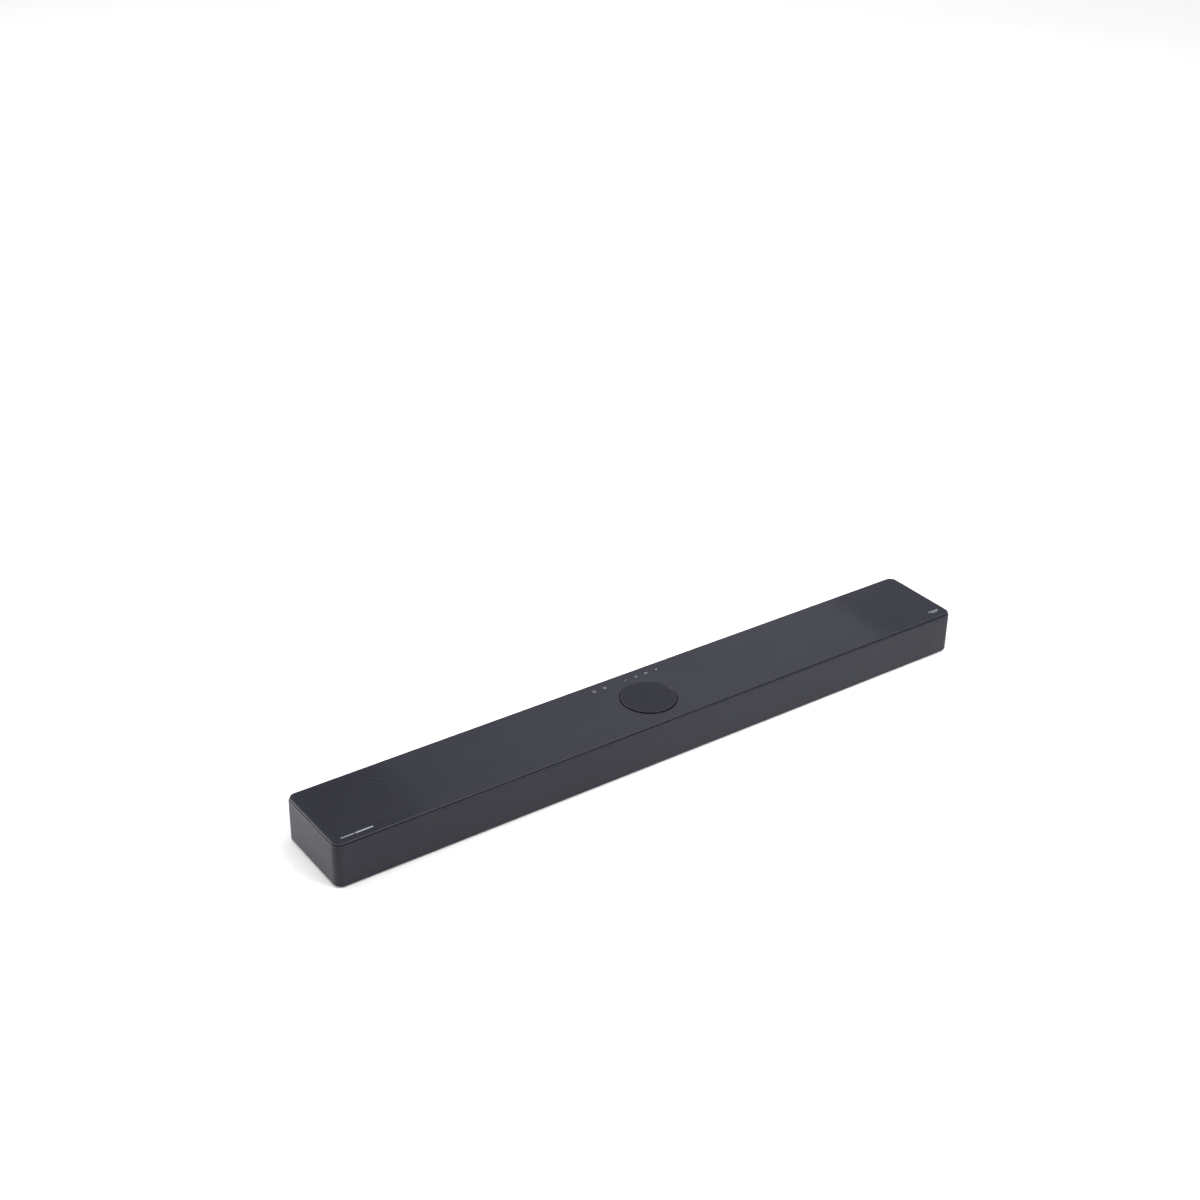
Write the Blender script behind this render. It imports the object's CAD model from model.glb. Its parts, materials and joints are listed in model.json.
import json
import math

import bmesh
import bpy
from mathutils import Matrix, Vector


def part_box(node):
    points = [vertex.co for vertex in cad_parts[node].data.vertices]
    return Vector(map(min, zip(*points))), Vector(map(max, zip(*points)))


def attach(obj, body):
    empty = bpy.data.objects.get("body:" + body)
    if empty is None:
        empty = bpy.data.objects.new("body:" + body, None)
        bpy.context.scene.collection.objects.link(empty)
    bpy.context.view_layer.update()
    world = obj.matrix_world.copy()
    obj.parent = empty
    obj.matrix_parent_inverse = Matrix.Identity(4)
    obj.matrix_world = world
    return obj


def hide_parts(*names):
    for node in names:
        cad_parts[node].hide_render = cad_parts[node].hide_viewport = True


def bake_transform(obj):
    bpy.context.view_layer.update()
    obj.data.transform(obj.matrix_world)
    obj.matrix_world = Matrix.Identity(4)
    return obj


# A soundbar: the wrap cover, top panel, disc, driver surrounds and prints are built here as fine meshes
# around the CAD frame; the other nodes keep their CAD shape and get procedural materials. Metres
# throughout, and the lengths named below are in millimetres times MM.

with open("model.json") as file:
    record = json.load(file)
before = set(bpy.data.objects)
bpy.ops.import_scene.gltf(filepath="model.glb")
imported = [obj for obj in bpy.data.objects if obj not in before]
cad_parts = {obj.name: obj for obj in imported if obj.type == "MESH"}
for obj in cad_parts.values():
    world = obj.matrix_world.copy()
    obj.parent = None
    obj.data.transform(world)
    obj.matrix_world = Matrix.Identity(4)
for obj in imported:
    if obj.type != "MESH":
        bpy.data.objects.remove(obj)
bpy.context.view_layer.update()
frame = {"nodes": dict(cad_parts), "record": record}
MM = 0.001
HOUSING = "housing"
SMOOTH_ANGLE = 30.0            # degrees: edges sharper than this stay crisp

# ---- the wrap cover -------------------------------------------------------------------------------
COVER_CORNER_R = 11.6 * MM
COVER_WALL = 1.8 * MM
SHOULDER_R = 2.4 * MM
INNER_SHOULDER_R = 0.4 * MM
FLANGE_IN = 4.5 * MM           # how far the cover turns in over the top and under the bottom
HEM_BEVEL = 0.4 * MM
HEM_CLOTH = 1.0 * MM           # cloth mapped along the edge that closes the section
REAR_GAP_X = 470.0 * MM        # where the cover's two ends stop on the rear
ARC_STEPS = 20
SHOULDER_STEPS = 8
KNIT_PITCH = 0.62 * MM

# ---- the top panel --------------------------------------------------------------------------------
PANEL_CORNER_R = 10.0 * MM
PANEL_EDGE_R = 0.55 * MM
PANEL_EDGE_STEPS = 4
PANEL_LAND = 0.1 * MM          # upright strip between the rounded edge and the undercut below it
PANEL_UNDERCUT = 1.2 * MM
DISC_HOLE_R = 38.2 * MM
MICROPHONE_R = 0.6 * MM
MICROPHONE_AT = (121.0 * MM, 53.4 * MM)
ZONE_PITCH = 3.18 * MM
ZONE_HOLE_R = 0.78 * MM
ZONE_HOLE_SIDES = 12
ZONE_THICKNESS = 1.2 * MM
ZONE_START_X = 322.0 * MM
ZONE_FADE = 66.0 * MM
ZONE_MARGIN = 1.6 * MM         # plain border left round the panel's outline
MARK_MARGIN = 0.6 * MM
SMALLEST_HOLE_R = 0.14 * MM
PRINT_PROUD = 0.03 * MM

# ---- the centre disc ------------------------------------------------------------------------------
DISC_WALL = 1.5 * MM
DISC_RIM_W = 0.35 * MM
DISC_SEAT_GAP = 0.05 * MM
DISC_EDGE_R = 0.2 * MM
DISC_EDGE_STEPS = 6
DISC_LIP_R = 0.12 * MM
DISC_LIP_STEPS = 4
DISC_FLANGE_T = 1.5 * MM
DISC_PITCH = 1.3 * MM
DISC_HOLE_RADIUS = 0.32 * MM
DISC_HOLE_SIDES = 8
DISC_BORDER = 0.9 * MM
DISC_SEGMENTS = 160
DISC_SMOOTH_ANGLE = 35.0

# ---- drivers --------------------------------------------------------------------------------------
FRONT_DRIVERS = ("front_outer_left", "front_inner_left", "front_inner_right", "front_outer_right")
TOP_DRIVERS = ("left_up", "centre_up", "right_up")
SURROUND_T = 0.5 * MM
SURROUND_LIP = 1.5 * MM
SURROUND_SMOOTH_ANGLE = 50.0
ROLL_STEPS = 12
TRACK_STEPS = 40
LENGTH_DECIMALS = 5            # lengths in metres, to a hundredth of a millimetre
CONDUCTOR_PITCH = 1.0 * MM

# ---- camera ---------------------------------------------------------------------------------------
CAMERA_AT = Vector((-1.2446, -1.6315, 1.3661))
CAMERA_AZIMUTH = math.radians(-35.6)
CAMERA_ELEVATION = math.radians(29.54)
CAMERA_ROLL = math.radians(0.98)
CAMERA_LENS = 56.2
CAMERA_SENSOR_W = 36.0
CAMERA_REACH = 50.0

# ---- studio ---------------------------------------------------------------------------------------
SKY_HORIZON = 0.12
SKY_OVERHEAD = 2.5
SKY_FALLOFF = 4.0
SKY_SEEN = 0.95                # plain pale tone behind the floor in low views
SOFTBOXES = {                  # where it stands, what it points at, its size and its power
    "end_fill": ((-1.9, 1.7, 0.4), (-0.48, 0.0, 0.03), (0.9, 0.7), 88.0),
    "key": ((0.45, -1.15, 1.4), (0.25, 0.0, 0.05), (0.9, 0.5), 31.0),
    "rear_right": ((1.0, 1.2, 0.9), (0.3, 0.0, 0.06), (1.0, 0.8), 1.3),
    "far_right": ((2.2, 1.2, 1.4), (0.3, 0.0, 0.06), (1.2, 1.0), 1.3),
    "backdrop": ((0.6, 1.2, 2.5), (3.0, 5.5, 0.0), (1.5, 1.5), 60.0),
}
FLOOR_HALF = 8.0
FLOOR_CELLS = 8


# ==== mesh helpers =================================================================================
def ease(value):
    """Smooth step: 0 up to 0, 1 from 1, and gentle at both ends."""
    t = min(max(value, 0.0), 1.0)
    return t * t * (3 - 2 * t)


def arc(centre, radius, start, stop, steps):
    """Points on an arc, both ends included, angles in degrees."""
    points = []
    for i in range(steps + 1):
        angle = math.radians(start + (stop - start) * i / steps)
        points.append((centre[0] + radius * math.cos(angle), centre[1] + radius * math.sin(angle)))
    return points


def circle_points(centre, radius, steps):
    return arc(centre, radius, 0, 360, steps)[:-1]


def rounded_outline(half_x, half_y, radius, inset, steps):
    """Counter-clockwise rounded rectangle, offset inwards by inset."""
    points = []
    for sx, sy, start in ((1, 1, 0), (-1, 1, 90), (-1, -1, 180), (1, -1, 270)):
        centre = (sx * (half_x - radius), sy * (half_y - radius))
        points += arc(centre, radius - inset, start, start + 90, steps)
    return points


def plan_centre(node):
    low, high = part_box(node)
    return ((low.x + high.x) / 2, (low.y + high.y) / 2)


def ring_verts(bm, points, z):
    return [bm.verts.new((x, y, z)) for x, y in points]


def loop_edges(bm, loop):
    return [bm.edges.get((a, b)) or bm.edges.new((a, b)) for a, b in zip(loop, loop[1:] + loop[:1])]


def bridge(bm, low, high, outward=True):
    """Wall of quads between two loops of the same length, both counter-clockwise."""
    count = len(low)
    for i in range(count):
        j = (i + 1) % count
        quad = (low[i], low[j], high[j], high[i])
        bm.faces.new(quad if outward else quad[::-1])


def fill_flat(bm, edges, up):
    """Flat face inside closed loops of edges, with the inner loops left open."""
    made = bmesh.ops.triangle_fill(bm, use_beauty=True, edges=edges)["geom"]
    for face in made:
        if isinstance(face, bmesh.types.BMFace):
            face.normal_update()
            if (face.normal.z > 0) != up:
                face.normal_flip()


def take_mesh(bm, name):
    mesh = bpy.data.meshes.new(name)
    bm.to_mesh(mesh)
    bm.free()
    return mesh


def flip_outwards(mesh):
    bm = bmesh.new()
    bm.from_mesh(mesh)
    bmesh.ops.recalc_face_normals(bm, faces=bm.faces)
    bm.to_mesh(mesh)
    bm.free()


def closed_sweep(name, verts, count):
    """Mesh of a closed section of count points, swept station by station and back to the first."""
    stations = len(verts) // count
    faces = []
    for i in range(stations):
        j = (i + 1) % stations
        for k in range(count):
            n = (k + 1) % count
            faces.append((i * count + k, i * count + n, j * count + n, j * count + k))
    mesh = bpy.data.meshes.new(name)
    mesh.from_pydata(verts, [], faces)
    flip_outwards(mesh)
    return mesh


def smooth(mesh, angle):
    """Smooth faces, with the edges sharper than the angle kept crisp."""
    mesh.polygons.foreach_set("use_smooth", [True] * len(mesh.polygons))
    mesh.set_sharp_from_angle(angle=math.radians(angle))


# ==== material helpers =============================================================================
class Surface:
    """A Principled material with shorthand for the nodes that drive it."""

    def __init__(self, name, roughness=0.5, metallic=0.0, specular=0.5):
        self.material = bpy.data.materials.new(name)
        self.material.use_nodes = True
        self.tree = self.material.node_tree
        self.shader = self.tree.nodes["Principled BSDF"]
        self.shader.inputs["Metallic"].default_value = metallic
        self.shader.inputs["Roughness"].default_value = roughness
        self.shader.inputs["Specular IOR Level"].default_value = specular
        self.coordinates = self.node("ShaderNodeTexCoord").outputs["Object"]

    def node(self, kind, **settings):
        made = self.tree.nodes.new(kind)
        for key, value in settings.items():
            setattr(made, key, value)
        return made

    def feed(self, socket, value):
        if isinstance(value, bpy.types.NodeSocket):
            self.tree.links.new(value, socket)
        else:
            socket.default_value = value

    def math(self, operation, *values):
        made = self.node("ShaderNodeMath", operation=operation)
        for socket, value in zip(made.inputs, values):
            self.feed(socket, value)
        return made.outputs[0]

    def split(self, vector):
        made = self.node("ShaderNodeSeparateXYZ")
        self.feed(made.inputs[0], vector)
        return made.outputs

    def noise(self, scale, detail, roughness=0.5, vector=None):
        made = self.node("ShaderNodeTexNoise")
        self.feed(made.inputs["Vector"], vector or self.coordinates)
        made.inputs["Scale"].default_value = scale
        made.inputs["Detail"].default_value = detail
        made.inputs["Roughness"].default_value = roughness
        return made.outputs["Fac"]

    def cells(self, scale):
        made = self.node("ShaderNodeTexVoronoi")
        self.feed(made.inputs["Vector"], self.coordinates)
        made.inputs["Scale"].default_value = scale
        return made.outputs["Distance"]

    def ridges(self, value, pitch):
        """Rounded ridges from 0 to 1, one to each pitch."""
        return self.math("ABSOLUTE", self.math("SINE", self.math("MULTIPLY", value, math.pi / pitch)))

    def stretched(self, scale):
        made = self.node("ShaderNodeMapping")
        self.feed(made.inputs["Vector"], self.coordinates)
        made.inputs["Scale"].default_value = scale
        return made.outputs["Vector"]

    def span(self, value, low, high, to_low, to_high):
        made = self.node("ShaderNodeMapRange")
        for socket, item in zip(made.inputs, (value, low, high, to_low, to_high)):
            self.feed(socket, item)
        return made.outputs[0]

    def blend(self, factor, a, b, mode="MIX"):
        made = self.node("ShaderNodeMix", data_type="RGBA", blend_type=mode)
        self.feed(made.inputs["Factor"], factor)
        self.feed(made.inputs["A"], a)
        self.feed(made.inputs["B"], b)
        return made.outputs["Result"]

    def colour(self, value):
        self.feed(self.shader.inputs["Base Color"], value)

    def mottle(self, scale, dark, light, detail=4.0):
        """Faint tone variation between two colours."""
        patches = self.span(self.noise(scale, detail), 0.35, 0.65, 0.0, 1.0)
        self.colour(self.blend(patches, dark, light))

    def uneven(self, noise, smoothest, roughest):
        """Roughness that drifts between two values."""
        self.feed(self.shader.inputs["Roughness"], self.span(noise, 0.3, 0.7, smoothest, roughest))

    def bump(self, height, distance, strength):
        made = self.node("ShaderNodeBump")
        made.inputs["Distance"].default_value = distance
        made.inputs["Strength"].default_value = strength
        self.feed(made.inputs["Height"], height)
        self.feed(self.shader.inputs["Normal"], made.outputs["Normal"])


def rgb(red, green, blue):
    return (red, green, blue, 1.0)


# ==== materials ====================================================================================
def plain_weave(s, uv):
    """Threads that pass over and under each other: their height, and how far a point is from a gap."""
    across = s.split(uv)
    u = s.math("DIVIDE", across["X"], KNIT_PITCH)
    v = s.math("DIVIDE", across["Y"], KNIT_PITCH)
    warp = s.ridges(u, 1.0)
    weft = s.ridges(v, 1.0)
    square = s.math("ADD", s.math("FLOOR", u), s.math("FLOOR", v))
    warp_over = s.math("MODULO", s.math("ABSOLUTE", square), 2.0)
    weft_over = s.math("SUBTRACT", 1.0, warp_over)
    warp_crown = s.math("MULTIPLY", warp, s.math("ADD", weft, 0.35))
    weft_crown = s.math("MULTIPLY", weft, s.math("ADD", warp, 0.35))
    warp_top = s.math("MULTIPLY", warp_crown, warp_over)
    weft_top = s.math("MULTIPLY", weft_crown, weft_over)
    return s.math("ADD", warp_top, weft_top), s.math("MULTIPLY", warp, weft)


def acoustic_knit():
    """Fine woven cloth over the cover: threads follow the surface through the piece's own UV map."""
    s = Surface("acoustic_knit", roughness=0.55, specular=0.22)
    height, from_gap = plain_weave(s, s.node("ShaderNodeUVMap", uv_map="weave").outputs["UV"])
    yarn = s.blend(s.noise(900.0, 2.0), rgb(0.0150, 0.0163, 0.0258), rgb(0.0236, 0.0255, 0.0392))
    cloth = s.blend(s.span(from_gap, 0.05, 0.5, 0.0, 1.0), rgb(0.012, 0.012, 0.014), yarn)
    drift = s.span(s.noise(9.0, 3.0), 0.4, 0.6, 0.0, 1.0)
    shade = s.blend(drift, rgb(0.92, 0.92, 0.93), rgb(1.0, 1.0, 1.0))
    s.colour(s.blend(1.0, cloth, shade, "MULTIPLY"))
    s.shader.inputs["Sheen Weight"].default_value = 0.05
    s.shader.inputs["Sheen Roughness"].default_value = 0.5
    s.bump(height, 0.12 * MM, 0.6)
    return s.material


def satin_panel():
    """Satin painted plate with a very fine spark-eroded grain and faint handling marks."""
    s = Surface("satin_panel", roughness=0.42, specular=0.5)
    s.mottle(14.0, rgb(0.0050, 0.0055, 0.0145), rgb(0.0064, 0.0069, 0.0168))
    s.uneven(s.noise(22.0, 5.0, 0.6), 0.41, 0.455)
    grain = s.math("ADD", s.noise(5200.0, 2.0), s.math("MULTIPLY", s.noise(1800.0, 2.0), 0.5))
    s.bump(grain, 0.02 * MM, 0.5)
    return s.material


def gloss_rim():
    s = Surface("gloss_rim", roughness=0.2, specular=0.35)
    s.mottle(60.0, rgb(0.0025, 0.0025, 0.0035), rgb(0.0040, 0.0040, 0.0055))
    s.uneven(s.noise(240.0, 4.0), 0.16, 0.26)
    s.bump(s.noise(900.0, 2.0), 0.01 * MM, 0.3)
    return s.material


def coated_mesh():
    """Powder-coated perforated metal."""
    s = Surface("coated_mesh", roughness=0.5, specular=0.45)
    s.mottle(40.0, rgb(0.0036, 0.0038, 0.0118), rgb(0.0050, 0.0052, 0.0136))
    s.uneven(s.noise(300.0, 3.0), 0.45, 0.6)
    s.bump(s.noise(4200.0, 2.0), 0.02 * MM, 0.5)
    return s.material


def print_ink():
    s = Surface("print_ink", roughness=0.55)
    s.mottle(500.0, rgb(0.27, 0.28, 0.30), rgb(0.33, 0.34, 0.36))
    s.bump(s.noise(6000.0, 2.0), 0.01 * MM, 0.3)
    return s.material


def moulded(name, dark, light, roughness, grain_scale):
    """Injection-moulded plastic with an etched grain."""
    s = Surface(name, roughness=roughness, specular=0.45)
    s.mottle(30.0, rgb(*dark), rgb(*light))
    s.uneven(s.noise(80.0, 4.0), roughness - 0.02, roughness + 0.03)
    grain = s.math("ADD", s.cells(grain_scale), s.math("MULTIPLY", s.noise(grain_scale * 2.0, 2.0), 0.6))
    s.bump(grain, 0.04 * MM, 0.55)
    return s.material


def metal(name, dark, light, roughness, brushed=False):
    """Plated or bare metal; brushed stretches its fine scratches along X."""
    s = Surface(name, roughness=roughness, metallic=1.0)
    scale = (60.0, 2400.0, 2400.0) if brushed else (900.0, 900.0, 900.0)
    scratch = s.noise(1.0, 3.0, 0.6, s.stretched(scale))
    s.mottle(120.0, rgb(*dark), rgb(*light), 3.0)
    s.uneven(scratch, roughness - 0.08, roughness + 0.12)
    s.bump(scratch, 0.01 * MM, 0.5)
    return s.material


def circuit_board():
    """Green solder mask with copper tracks showing through and pale pads."""
    s = Surface("circuit_board", roughness=0.35)
    brick = s.node("ShaderNodeTexBrick", offset=0.5)
    s.feed(brick.inputs["Vector"], s.coordinates)
    brick.inputs["Scale"].default_value = 260.0
    brick.inputs["Mortar Size"].default_value = 0.09
    brick.inputs["Color1"].default_value = rgb(0.008, 0.060, 0.026)
    brick.inputs["Color2"].default_value = rgb(0.006, 0.045, 0.020)
    brick.inputs["Mortar"].default_value = rgb(0.020, 0.105, 0.045)
    pad = s.math("LESS_THAN", s.cells(180.0), 0.12)
    s.colour(s.blend(pad, brick.outputs["Color"], rgb(0.45, 0.43, 0.36)))
    s.uneven(s.noise(200.0, 3.0), 0.3, 0.45)
    s.bump(brick.outputs["Fac"], 0.03 * MM, 0.4)
    return s.material


def paper_cone():
    s = Surface("paper_cone", roughness=0.85, specular=0.3)
    fibre = s.noise(700.0, 6.0, 0.7)
    s.colour(s.blend(fibre, rgb(0.028, 0.028, 0.030), rgb(0.060, 0.060, 0.064)))
    s.bump(fibre, 0.06 * MM, 0.6)
    return s.material


def soft_rubber():
    s = Surface("soft_rubber", roughness=0.7, specular=0.35)
    s.mottle(90.0, rgb(0.010, 0.010, 0.011), rgb(0.016, 0.016, 0.017))
    s.uneven(s.noise(400.0, 3.0), 0.62, 0.8)
    s.bump(s.noise(2600.0, 3.0), 0.03 * MM, 0.6)
    return s.material


def smoked_lens():
    s = Surface("smoked_lens", roughness=0.08)
    s.mottle(50.0, rgb(0.012, 0.012, 0.014), rgb(0.016, 0.016, 0.019))
    s.uneven(s.noise(300.0, 3.0), 0.05, 0.12)
    s.shader.inputs["Transmission Weight"].default_value = 0.4
    s.shader.inputs["IOR"].default_value = 1.49
    return s.material


def flat_cable():
    """Pale film with copper-coloured conductors along its length."""
    s = Surface("flat_cable", roughness=0.4)
    lane = s.ridges(s.split(s.coordinates)["X"], CONDUCTOR_PITCH)
    s.colour(s.blend(s.span(lane, 0.3, 0.6, 0.0, 1.0), rgb(0.55, 0.54, 0.48), rgb(0.40, 0.27, 0.14)))
    s.bump(lane, 0.05 * MM, 0.4)
    return s.material


# One material for each slot of the record: name, dark, light, roughness and, for mouldings, grain scale.
materials = {
    "cover_fabric": acoustic_knit(),
    "panel_plastic": satin_panel(),
    "chassis_plastic": moulded("chassis_plastic", (0.014, 0.014, 0.016), (0.019, 0.019, 0.021), 0.55, 1500.0),
    "disc_ring_gloss": gloss_rim(),
    "disc_mesh": coated_mesh(),
    "print_grey": print_ink(),
    "rubber": soft_rubber(),
    "inner_plastic": moulded("inner_plastic", (0.012, 0.012, 0.013), (0.016, 0.016, 0.017), 0.6, 1100.0),
    "board_green": circuit_board(),
    "socket_black": moulded("socket_black", (0.009, 0.009, 0.010), (0.013, 0.013, 0.014), 0.45, 2600.0),
    "socket_metal": metal("socket_metal", (0.50, 0.50, 0.51), (0.60, 0.60, 0.60), 0.28),
    "basket_steel": moulded("basket_steel", (0.020, 0.020, 0.021), (0.028, 0.028, 0.030), 0.45, 2200.0),
    "magnet_steel": metal("magnet_steel", (0.20, 0.20, 0.21), (0.28, 0.28, 0.28), 0.4),
    "surround_rubber": soft_rubber(),
    "cone_paper": paper_cone(),
    "screw_steel": metal("screw_steel", (0.14, 0.14, 0.15), (0.22, 0.22, 0.22), 0.3),
    "insert_brass": metal("insert_brass", (0.60, 0.42, 0.16), (0.68, 0.50, 0.22), 0.3, brushed=True),
    "sink_aluminium": metal("sink_aluminium", (0.62, 0.62, 0.64), (0.72, 0.72, 0.73), 0.32, brushed=True),
    "transformer_steel": moulded("transformer_tape", (0.30, 0.22, 0.05), (0.38, 0.29, 0.08), 0.4, 500.0),
    "capacitor_sleeve": moulded("capacitor_sleeve", (0.015, 0.016, 0.030), (0.020, 0.021, 0.040), 0.3, 900.0),
    "ribbon_film": flat_cable(),
    "window_smoke": smoked_lens(),
    "harness_pvc": soft_rubber(),
}


# ==== pieces =======================================================================================
def finish_cad_nodes():
    """Every CAD node gets its slot's material and smooth shading."""
    slots = {part["node"]: part["material_slot"] for part in frame["record"]["subparts"]}
    for node, obj in frame["nodes"].items():
        obj.data.materials.clear()
        obj.data.materials.append(materials[slots[node]])
        smooth(obj.data, SMOOTH_ANGLE)


def new_piece(name, mesh, node, slot, smooth_angle=SMOOTH_ANGLE):
    """A piece that stands for a CAD node and rides on nothing yet."""
    mesh.validate()
    smooth(mesh, smooth_angle)
    mesh.materials.clear()
    mesh.materials.append(materials[slot])
    piece = bpy.data.objects.new(name, mesh)
    bpy.context.scene.collection.objects.link(piece)
    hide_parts(node)
    return piece


def add_fixed_piece(name, mesh, node, slot, smooth_angle=SMOOTH_ANGLE):
    """A piece that stands for a CAD node and rides on the housing."""
    piece = new_piece(name, mesh, node, slot, smooth_angle)
    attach(piece, HOUSING)


# ==== wrap cover ===================================================================================
def cover_section(low_z, high_z):
    """Closed C-section as (distance in from the outer face, height), and each point's distance along it."""
    r = SHOULDER_R
    inner_r = INNER_SHOULDER_R
    inner = COVER_WALL + inner_r
    section = [(FLANGE_IN, low_z + HEM_BEVEL), (FLANGE_IN - HEM_BEVEL, low_z)]
    section += arc((r, low_z + r), r, -90, -180, SHOULDER_STEPS)
    section += arc((r, high_z - r), r, 180, 90, SHOULDER_STEPS)
    section += [(FLANGE_IN - HEM_BEVEL, high_z), (FLANGE_IN, high_z - HEM_BEVEL)]
    section.append((FLANGE_IN, high_z - COVER_WALL))
    section += arc((inner, high_z - inner), inner_r, 90, 180, SHOULDER_STEPS // 2)
    section += arc((inner, low_z + inner), inner_r, 180, 270, SHOULDER_STEPS // 2)
    section.append((FLANGE_IN, low_z + COVER_WALL))
    along = [0.0]
    for a, b in zip(section, section[1:]):
        along.append(along[-1] + math.dist(a, b))
    return section, along


def cover_stations(half_x, half_y):
    """Stations along the wrap, from the rear right end round the front to the rear left end: centre,
    direction outwards and distance along."""
    r = COVER_CORNER_R
    cx = half_x - r
    cy = half_y - r
    stations = [((REAR_GAP_X, cy), 90.0)]
    for corner, start in (((cx, cy), 90.0), ((cx, -cy), 0.0), ((-cx, -cy), -90.0), ((-cx, cy), -180.0)):
        for i in range(ARC_STEPS + 1):
            stations.append((corner, start - 90.0 * i / ARC_STEPS))
    stations.append(((-REAR_GAP_X, cy), -270.0))
    placed = []
    distance = 0.0
    previous = None
    for centre, degrees in stations:
        direction = Vector((math.cos(math.radians(degrees)), math.sin(math.radians(degrees))))
        point = Vector(centre) + direction * r
        if previous is not None:
            distance += (point - previous).length
        placed.append((Vector(centre), direction, distance))
        previous = point
    return placed


def cover_faces(stations, section, along):
    """Quads from station to station and a cap at each end, with the cloth's UV at every corner."""
    count = len(section)
    faces = []
    uvs = []
    for i in range(len(stations) - 1):
        u0 = stations[i][2]
        u1 = stations[i + 1][2]
        for k in range(count):
            n = (k + 1) % count
            faces.append((i * count + k, i * count + n, (i + 1) * count + n, (i + 1) * count + k))
            v0 = along[k]
            v1 = along[n] if n else v0 + HEM_CLOTH
            uvs += [(u0, v0), (u0, v1), (u1, v1), (u1, v0)]
    last = (len(stations) - 1) * count
    for cap in (range(count)[::-1], range(last, last + count)):
        faces.append(tuple(cap))
        uvs += [section[index % count] for index in cap]
    return faces, uvs


def build_cover():
    low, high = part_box("wrap_cover")
    section, along = cover_section(low.z, high.z)
    stations = cover_stations(high.x, high.y)
    verts = []
    for centre, direction, _ in stations:
        for inset, z in section:
            point = centre + direction * (COVER_CORNER_R - inset)
            verts.append((point.x, point.y, z))
    faces, uvs = cover_faces(stations, section, along)
    mesh = bpy.data.meshes.new("wrap_cover_cloth")
    mesh.from_pydata(verts, [], faces)
    layer = mesh.uv_layers.new(name="weave")
    for loop, uv in zip(layer.data, uvs):
        loop.uv = uv
    flip_outwards(mesh)
    add_fixed_piece("wrap_cover_cloth", mesh, "wrap_cover", "cover_fabric")


# ==== perforated sheets ============================================================================
class Lattice:
    """Staggered holes: rows along Y, half their pitch out of step with the next. A cell is (i, k), where
    i counts rows along X and k counts half pitches along Y. It is kept when all its corners are inside."""

    def __init__(self, centre, pitch, reach, inside):
        self.centre = centre
        self.half = pitch / 2
        self.row = pitch * math.sqrt(3) / 2
        rows = int(reach / self.row)
        steps = int(reach / self.half)
        self.cells = []
        for i in range(-rows, rows + 1):
            for k in range(-steps + (steps + i) % 2, steps + 1, 2):
                if all(inside(*self.point(key)) for key in self.corners((i, k))):
                    self.cells.append((i, k))

    def point(self, key):
        return (self.centre[0] + (key[0] - 0.5) * self.row, self.centre[1] + key[1] * self.half)

    def middle(self, cell):
        return (self.centre[0] + cell[0] * self.row, self.centre[1] + cell[1] * self.half)

    def corners(self, cell):
        i, k = cell
        return [(i, k - 1), (i + 1, k - 1), (i + 1, k), (i + 1, k + 1), (i, k + 1), (i, k)]

    def border(self):
        """The edges that only one cell has, as pairs of corners."""
        uses = {}
        for cell in self.cells:
            loop = self.corners(cell)
            for a, b in zip(loop, loop[1:] + loop[:1]):
                uses.setdefault(frozenset((a, b)), []).append((a, b))
        return [pairs[0] for pairs in uses.values() if len(pairs) == 1]


def annulus_pattern(outer, inner):
    """Triangles between two loops round the origin, as numbers in outer + inner, matched by angle."""
    angles = [math.atan2(y, x) % (2 * math.pi) for x, y in outer + inner]
    outer_order = sorted(range(len(outer)), key=lambda n: angles[n])
    inner_order = sorted(range(len(outer), len(angles)), key=lambda n: angles[n])
    triangles = []
    a = b = 0
    while a < len(outer_order) or b < len(inner_order):
        outer_left = a < len(outer_order)
        inner_left = b < len(inner_order)
        if outer_left and (not inner_left or angles[outer_order[a]] <= angles[inner_order[b]]):
            triangles.append((outer_order[a - 1], outer_order[a], inner_order[b - 1]))
            a += 1
        else:
            triangles.append((inner_order[b - 1], outer_order[a - 1], inner_order[b]))
            b += 1
    return triangles


def corner_verts(bm, lattice, keys, z):
    return {key: bm.verts.new((*lattice.point(key), z)) for key in keys}


def perforate(bm, lattice, radius_at, heights, sides):
    """The lattice's cells on the upper and the lower face of a sheet, with the walls of their holes.
    Returns the corner vertices of each face."""
    origin = Vector(lattice.middle((0, 0)))
    outline = [tuple(Vector(lattice.point(key)) - origin) for key in lattice.corners((0, 0))]
    pattern = annulus_pattern(outline, circle_points((0, 0), 1.0, sides))
    keys = dict.fromkeys(key for cell in lattice.cells for key in lattice.corners(cell))
    layers = [corner_verts(bm, lattice, keys, z) for z in heights]
    for cell in lattice.cells:
        middle = lattice.middle(cell)
        radius = radius_at(*middle)
        rims = []
        for corners, z, turn in zip(layers, heights, (1, -1)):
            outer = [corners[key] for key in lattice.corners(cell)]
            if radius < SMALLEST_HOLE_R:
                bm.faces.new(outer[::turn])
                continue
            rim = ring_verts(bm, circle_points(middle, radius, sides), z)
            loop = outer + rim
            for triangle in pattern:
                bm.faces.new([loop[n] for n in triangle][::turn])
            rims.append(rim)
        if rims:
            bridge(bm, rims[1], rims[0], outward=False)
    return layers


def border_walls(bm, lattice, layers, outward):
    top, bottom = layers
    for a, b in lattice.border():
        quad = (bottom[a], bottom[b], top[b], top[a])
        bm.faces.new(quad if outward else quad[::-1])


def border_edges(bm, lattice, corners):
    return [bm.edges.get((corners[a], corners[b])) for a, b in lattice.border()]


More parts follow.
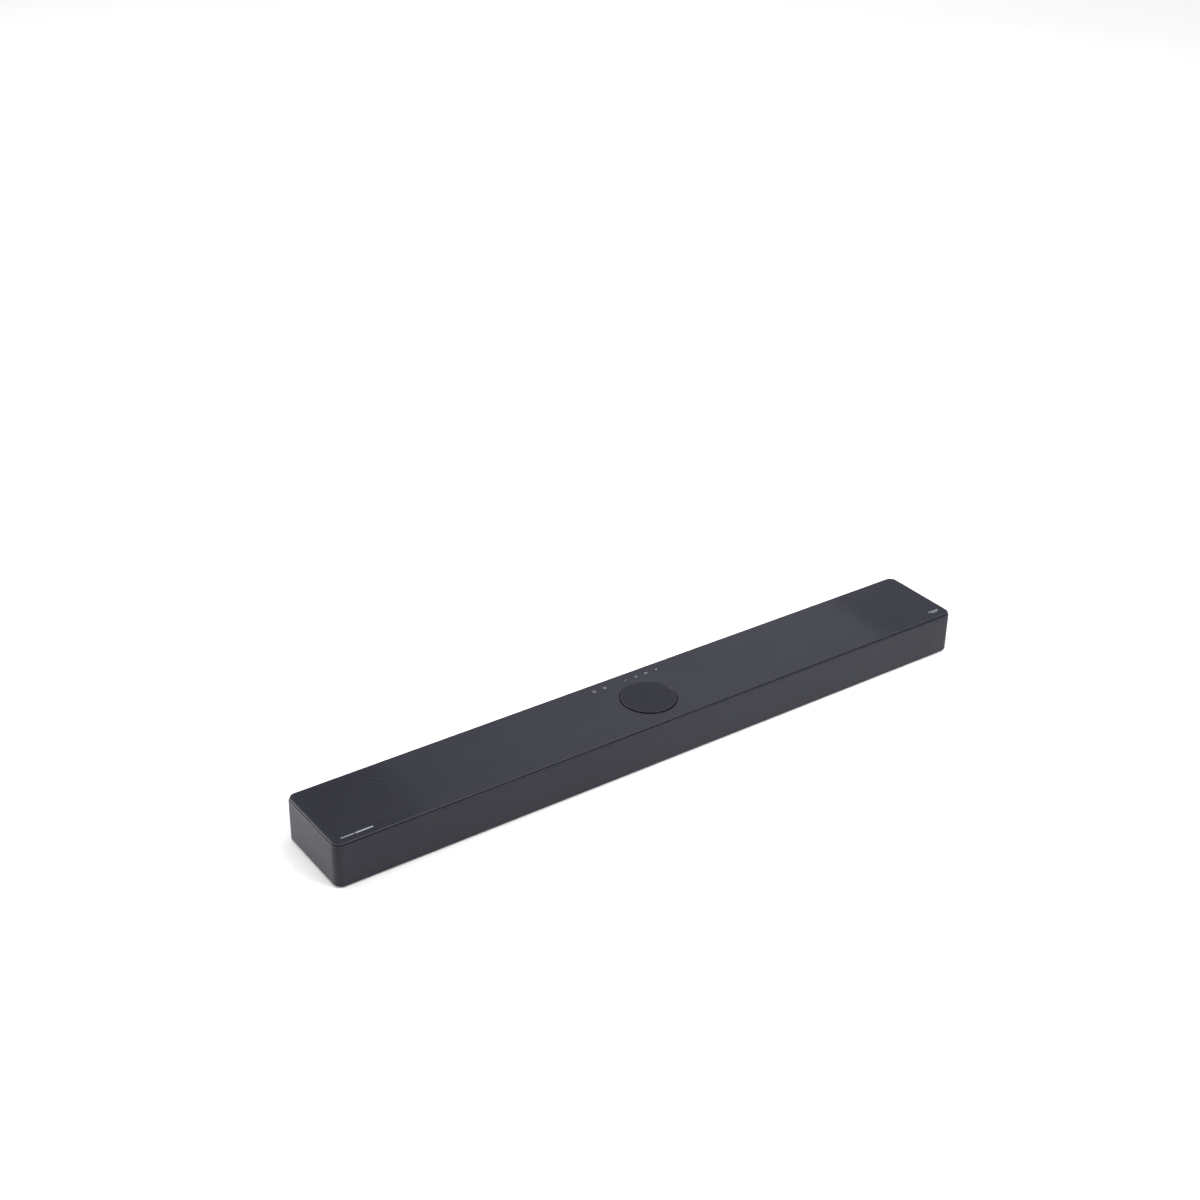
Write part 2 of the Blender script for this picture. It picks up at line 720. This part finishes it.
# ==== top panel ====================================================================================
def inside_rounded(x, y, half_x, half_y, radius):
    """Whether a point is in a rounded rectangle round the origin."""
    out_x = max(abs(x) - (half_x - radius), 0.0)
    out_y = max(abs(y) - (half_y - radius), 0.0)
    return math.hypot(out_x, out_y) < radius and abs(x) < half_x and abs(y) < half_y


def zone_lattice(side, high):
    """Cells of one perforated end of the panel, out to a narrow plain border."""
    outline = (high.x - ZONE_MARGIN, high.y - ZONE_MARGIN, PANEL_CORNER_R - ZONE_MARGIN)

    def inside(x, y):
        return side * x > ZONE_START_X and inside_rounded(x, y, *outline)

    return Lattice((side * (ZONE_START_X + high.x) / 2, 0.0), ZONE_PITCH, high.x - ZONE_START_X, inside)


def loose_boxes(mesh):
    """Plan box (x0, y0, x1, y1) of each separate lump of a mesh."""
    bm = bmesh.new()
    bm.from_mesh(mesh)
    left = set(bm.verts)
    boxes = []
    while left:
        stack = [left.pop()]
        lump = []
        while stack:
            vert = stack.pop()
            lump.append(vert.co.copy())
            for edge in vert.link_edges:
                other = edge.other_vert(vert)
                if other in left:
                    left.discard(other)
                    stack.append(other)
        xs = [co.x for co in lump]
        ys = [co.y for co in lump]
        boxes.append((min(xs), min(ys), max(xs), max(ys)))
    bm.free()
    return boxes


def mark_areas():
    """Plan boxes of the printed marks, where the panel has no holes."""
    areas = []
    for x0, y0, x1, y1 in loose_boxes(frame["nodes"]["panel_marks"].data):
        areas.append((x0 - MARK_MARGIN, y0 - MARK_MARGIN, x1 + MARK_MARGIN, y1 + MARK_MARGIN))
    return areas


def zone_hole_radius(x, y, areas):
    """Holes shrink to nothing towards the middle of the bar, and there are none under a mark."""
    reach = ZONE_HOLE_R
    for x0, y0, x1, y1 in areas:
        if x0 - reach < x < x1 + reach and y0 - reach < y < y1 + reach:
            return 0.0
    return ZONE_HOLE_R * ease((abs(x) - ZONE_START_X) / ZONE_FADE)


def build_zone(name, lattice, top):
    areas = mark_areas()
    bm = bmesh.new()
    heights = (top, top - ZONE_THICKNESS)
    layers = perforate(bm, lattice, lambda x, y: zone_hole_radius(x, y, areas), heights, ZONE_HOLE_SIDES)
    border_walls(bm, lattice, layers, outward=True)
    add_fixed_piece(name, take_mesh(bm, name), "top_panel", "panel_plastic")


def plate_side(bm, low, high):
    """The plate's outer wall: an undercut, a short land and a rounded top edge. Returns the edges round
    the upper and the lower face, by height."""
    levels = [(PANEL_UNDERCUT, low.z), (0.0, high.z - PANEL_EDGE_R - PANEL_LAND)]
    for inset, rise in arc((0, 0), PANEL_EDGE_R, 0, 90, PANEL_EDGE_STEPS):
        levels.append((PANEL_EDGE_R - inset, high.z - PANEL_EDGE_R + rise))
    rings = []
    for inset, z in levels:
        points = rounded_outline(high.x, high.y, PANEL_CORNER_R, inset, ARC_STEPS)
        rings.append(ring_verts(bm, points, z))
    for lower, upper in zip(rings, rings[1:]):
        bridge(bm, lower, upper)
    return {high.z: loop_edges(bm, rings[-1]), low.z: loop_edges(bm, rings[0])}


def cut_round_hole(bm, edges, centre, radius, steps):
    """Wall of a round hole, whose rims join the edges of the upper and the lower face."""
    upper, lower = [ring_verts(bm, circle_points(centre, radius, steps), z) for z in edges]
    bridge(bm, lower, upper, outward=False)
    for z, loop in zip(edges, (upper, lower)):
        edges[z] += loop_edges(bm, loop)


def cut_zone(bm, edges, lattice):
    """Wall round a perforated end, whose rims join the edges of the upper and the lower face."""
    keys = dict.fromkeys(key for pair in lattice.border() for key in pair)
    layers = [corner_verts(bm, lattice, keys, z) for z in edges]
    border_walls(bm, lattice, layers, outward=False)
    for z, corners in zip(edges, layers):
        edges[z] += border_edges(bm, lattice, corners)


def build_panel():
    """The two perforated ends, and a plate that is open for them, the disc and the microphone."""
    low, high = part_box("top_panel")
    left, right = [zone_lattice(side, high) for side in (-1, 1)]
    build_zone("panel_perforations_left", left, high.z)
    build_zone("panel_perforations_right", right, high.z)
    bm = bmesh.new()
    edges = plate_side(bm, low, high)
    cut_round_hole(bm, edges, plan_centre("centre_disc_grille"), DISC_HOLE_R, DISC_SEGMENTS)
    cut_round_hole(bm, edges, MICROPHONE_AT, MICROPHONE_R, ARC_STEPS)
    cut_zone(bm, edges, left)
    cut_zone(bm, edges, right)
    fill_flat(bm, edges[high.z], up=True)
    fill_flat(bm, edges[low.z], up=False)
    add_fixed_piece("panel_plate", take_mesh(bm, "panel_plate"), "top_panel", "panel_plastic")


# ==== centre disc ==================================================================================
def disc_ring_section(low, high, seat_r, seat_z):
    """Closed section as (radius, height): flange, outer wall with a rounded top, and seat for the mesh."""
    outer = seat_r + DISC_RIM_W
    bore = outer - DISC_WALL
    flange = (high.x - low.x) / 2
    flange_top = low.z + DISC_FLANGE_T
    section = [(bore, low.z), (flange, low.z), (flange, flange_top), (outer, flange_top)]
    section += arc((outer - DISC_EDGE_R, high.z - DISC_EDGE_R), DISC_EDGE_R, 0, 90, DISC_EDGE_STEPS)
    section += arc((seat_r + DISC_LIP_R, high.z - DISC_LIP_R), DISC_LIP_R, 90, 180, DISC_LIP_STEPS)
    section += [(seat_r, seat_z), (bore, seat_z)]
    return section


def build_disc_ring():
    low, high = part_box("centre_disc_ring")
    grille_low, grille_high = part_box("centre_disc_grille")
    x, y = plan_centre("centre_disc_ring")
    seat_r = (grille_high.x - grille_low.x) / 2 + DISC_SEAT_GAP
    section = disc_ring_section(low, high, seat_r, grille_low.z)
    verts = []
    for i in range(DISC_SEGMENTS):
        angle = 2 * math.pi * i / DISC_SEGMENTS
        for radius, z in section:
            verts.append((x + radius * math.cos(angle), y + radius * math.sin(angle), z))
    mesh = closed_sweep("centre_disc_rim", verts, len(section))
    add_fixed_piece("centre_disc_rim", mesh, "centre_disc_ring", "disc_ring_gloss", DISC_SMOOTH_ANGLE)


def build_disc_mesh():
    """Perforated disc: whole cells inside a plain border that is filled out to the circle."""
    low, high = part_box("centre_disc_grille")
    centre = plan_centre("centre_disc_grille")
    radius = (high.x - low.x) / 2

    def inside(x, y):
        return math.hypot(x - centre[0], y - centre[1]) < radius - DISC_BORDER

    lattice = Lattice(centre, DISC_PITCH, radius, inside)
    bm = bmesh.new()
    heights = (high.z, low.z)
    layers = perforate(bm, lattice, lambda x, y: DISC_HOLE_RADIUS, heights, DISC_HOLE_SIDES)
    rims = [ring_verts(bm, circle_points(centre, radius, DISC_SEGMENTS), z) for z in heights]
    bridge(bm, rims[1], rims[0])
    for rim, corners, z in zip(rims, layers, heights):
        fill_flat(bm, loop_edges(bm, rim) + border_edges(bm, lattice, corners), up=z == high.z)
    mesh = take_mesh(bm, "centre_disc_mesh")
    add_fixed_piece("centre_disc_mesh", mesh, "centre_disc_grille", "disc_mesh")


# ==== driver surrounds =============================================================================
def surround_section(cone_r, open_r):
    """Half roll between two flat lips, as (distance from the driver's middle line, height)."""
    roll_r = (open_r - cone_r) / 2
    middle = (open_r + cone_r) / 2
    lip_top = math.degrees(math.asin(SURROUND_T / roll_r))
    section = [(cone_r - SURROUND_LIP, 0.0)]
    section += arc((middle, 0.0), roll_r - SURROUND_T, 180, 0, ROLL_STEPS)
    section += [(open_r + SURROUND_LIP, 0.0), (open_r + SURROUND_LIP, SURROUND_T)]
    section += arc((middle, 0.0), roll_r, lip_top, 180 - lip_top, ROLL_STEPS)
    section.append((cone_r - SURROUND_LIP, SURROUND_T))
    return section


def racetrack(half_straight):
    """Stations round a driver: (offset of the end it turns about, angle). A round one has no straight."""
    stations = []
    ends = TRACK_STEPS + 1 if half_straight else TRACK_STEPS
    for side, start in ((1, -90.0), (-1, 90.0)):
        for i in range(ends):
            stations.append((side * half_straight, math.radians(start + 180.0 * i / TRACK_STEPS)))
    return stations


def build_surround(driver, faces_front):
    """Soft roll whose outer lip stays with the basket while its inner lip follows the cone."""
    low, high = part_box(driver + "_surround")
    cone_low, cone_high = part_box(driver + "_cone")
    middle = (low + high) / 2
    across = 2 if faces_front else 1
    cone_r = (cone_high[across] - cone_low[across]) / 2
    outer_r = (high[across] - low[across]) / 2
    open_r = outer_r - SURROUND_LIP
    half_straight = max(round((high.x - low.x) / 2 - outer_r, LENGTH_DECIMALS), 0.0)
    section = surround_section(cone_r, open_r)
    verts = []
    for end, angle in racetrack(half_straight):
        for radius, height in section:
            u = middle.x + end + radius * math.cos(angle)
            v = middle[across] + radius * math.sin(angle)
            verts.append((u, high.y - height, v) if faces_front else (u, v, low.z + height))
    name = driver + "_surround_roll"
    mesh = closed_sweep(name, verts, len(section))
    piece = new_piece(name, mesh, driver + "_surround", "surround_rubber", SURROUND_SMOOTH_ANGLE)
    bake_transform(piece)


# ==== prints =======================================================================================
def build_print(node):
    """Ink layer in the outline of the CAD inlay, standing just proud of the panel."""
    mesh = frame["nodes"][node].data.copy()
    mesh.transform(Matrix.Translation((0, 0, PRINT_PROUD)))
    add_fixed_piece(node + "_ink", mesh, node, "print_grey")


# ==== studio =======================================================================================
def build_floor():
    s = Surface("pale_floor", roughness=0.9)
    s.mottle(2.0, rgb(0.85, 0.85, 0.85), rgb(0.87, 0.87, 0.87))
    bm = bmesh.new()
    bmesh.ops.create_grid(bm, x_segments=FLOOR_CELLS, y_segments=FLOOR_CELLS, size=FLOOR_HALF)
    mesh = take_mesh(bm, "floor")
    mesh.materials.append(s.material)
    floor = bpy.data.objects.new("floor", mesh)
    bpy.context.scene.collection.objects.link(floor)


def build_sky():
    """White sky, dim at the horizon and bright overhead, with a plain pale tone where it is seen."""
    world = bpy.data.worlds.new("studio")
    bpy.context.scene.world = world
    world.use_nodes = True
    tree = world.node_tree
    background = tree.nodes["Background"]
    background.inputs["Color"].default_value = rgb(1.0, 1.0, 1.0)
    split = tree.nodes.new("ShaderNodeSeparateXYZ")
    tree.links.new(tree.nodes.new("ShaderNodeTexCoord").outputs["Generated"], split.inputs[0])
    height = tree.nodes.new("ShaderNodeMath")
    height.operation = "POWER"
    height.use_clamp = True
    tree.links.new(split.outputs["Z"], height.inputs[0])
    height.inputs[1].default_value = SKY_FALLOFF
    strength = tree.nodes.new("ShaderNodeMath")
    strength.operation = "MULTIPLY_ADD"
    tree.links.new(height.outputs[0], strength.inputs[0])
    strength.inputs[1].default_value = SKY_OVERHEAD
    strength.inputs[2].default_value = SKY_HORIZON
    seen = tree.nodes.new("ShaderNodeMix")
    tree.links.new(tree.nodes.new("ShaderNodeLightPath").outputs["Is Camera Ray"], seen.inputs["Factor"])
    tree.links.new(strength.outputs[0], seen.inputs["A"])
    seen.inputs["B"].default_value = SKY_SEEN
    tree.links.new(seen.outputs["Result"], background.inputs["Strength"])


def add_softbox(name, at, target, size, power):
    light = bpy.data.lights.new(name, "AREA")
    light.shape = "RECTANGLE"
    light.size, light.size_y = size
    light.energy = power
    lamp = bpy.data.objects.new(name, light)
    bpy.context.scene.collection.objects.link(lamp)
    lamp.location = at
    lamp.rotation_euler = (Vector(target) - Vector(at)).to_track_quat("-Z", "Y").to_euler()


def build_studio():
    """Pale floor, sky, softboxes round the bar, and one that whitens the floor far behind it."""
    build_floor()
    build_sky()
    for name, (at, target, size, power) in SOFTBOXES.items():
        add_softbox(name, at, target, size, power)
    bpy.context.scene.view_settings.view_transform = "Standard"


def build_camera():
    data = bpy.data.cameras.new("camera")
    data.lens = CAMERA_LENS
    data.sensor_width = CAMERA_SENSOR_W
    data.clip_end = CAMERA_REACH
    camera = bpy.data.objects.new("camera", data)
    bpy.context.scene.collection.objects.link(camera)
    level = math.cos(CAMERA_ELEVATION)
    back_x = math.sin(CAMERA_AZIMUTH) * level
    back_y = -math.cos(CAMERA_AZIMUTH) * level
    back = Vector((back_x, back_y, math.sin(CAMERA_ELEVATION)))
    turn = (-back).to_track_quat("-Z", "Y").to_matrix().to_4x4()
    camera.matrix_world = Matrix.Translation(CAMERA_AT) @ turn @ Matrix.Rotation(CAMERA_ROLL, 4, "Z")
    bpy.context.scene.camera = camera


finish_cad_nodes()
build_cover()
build_panel()
build_disc_ring()
build_disc_mesh()
for driver_name in FRONT_DRIVERS:
    build_surround(driver_name, faces_front=True)
for driver_name in TOP_DRIVERS:
    build_surround(driver_name, faces_front=False)
build_print("touch_icons")
build_print("panel_marks")
build_studio()
build_camera()
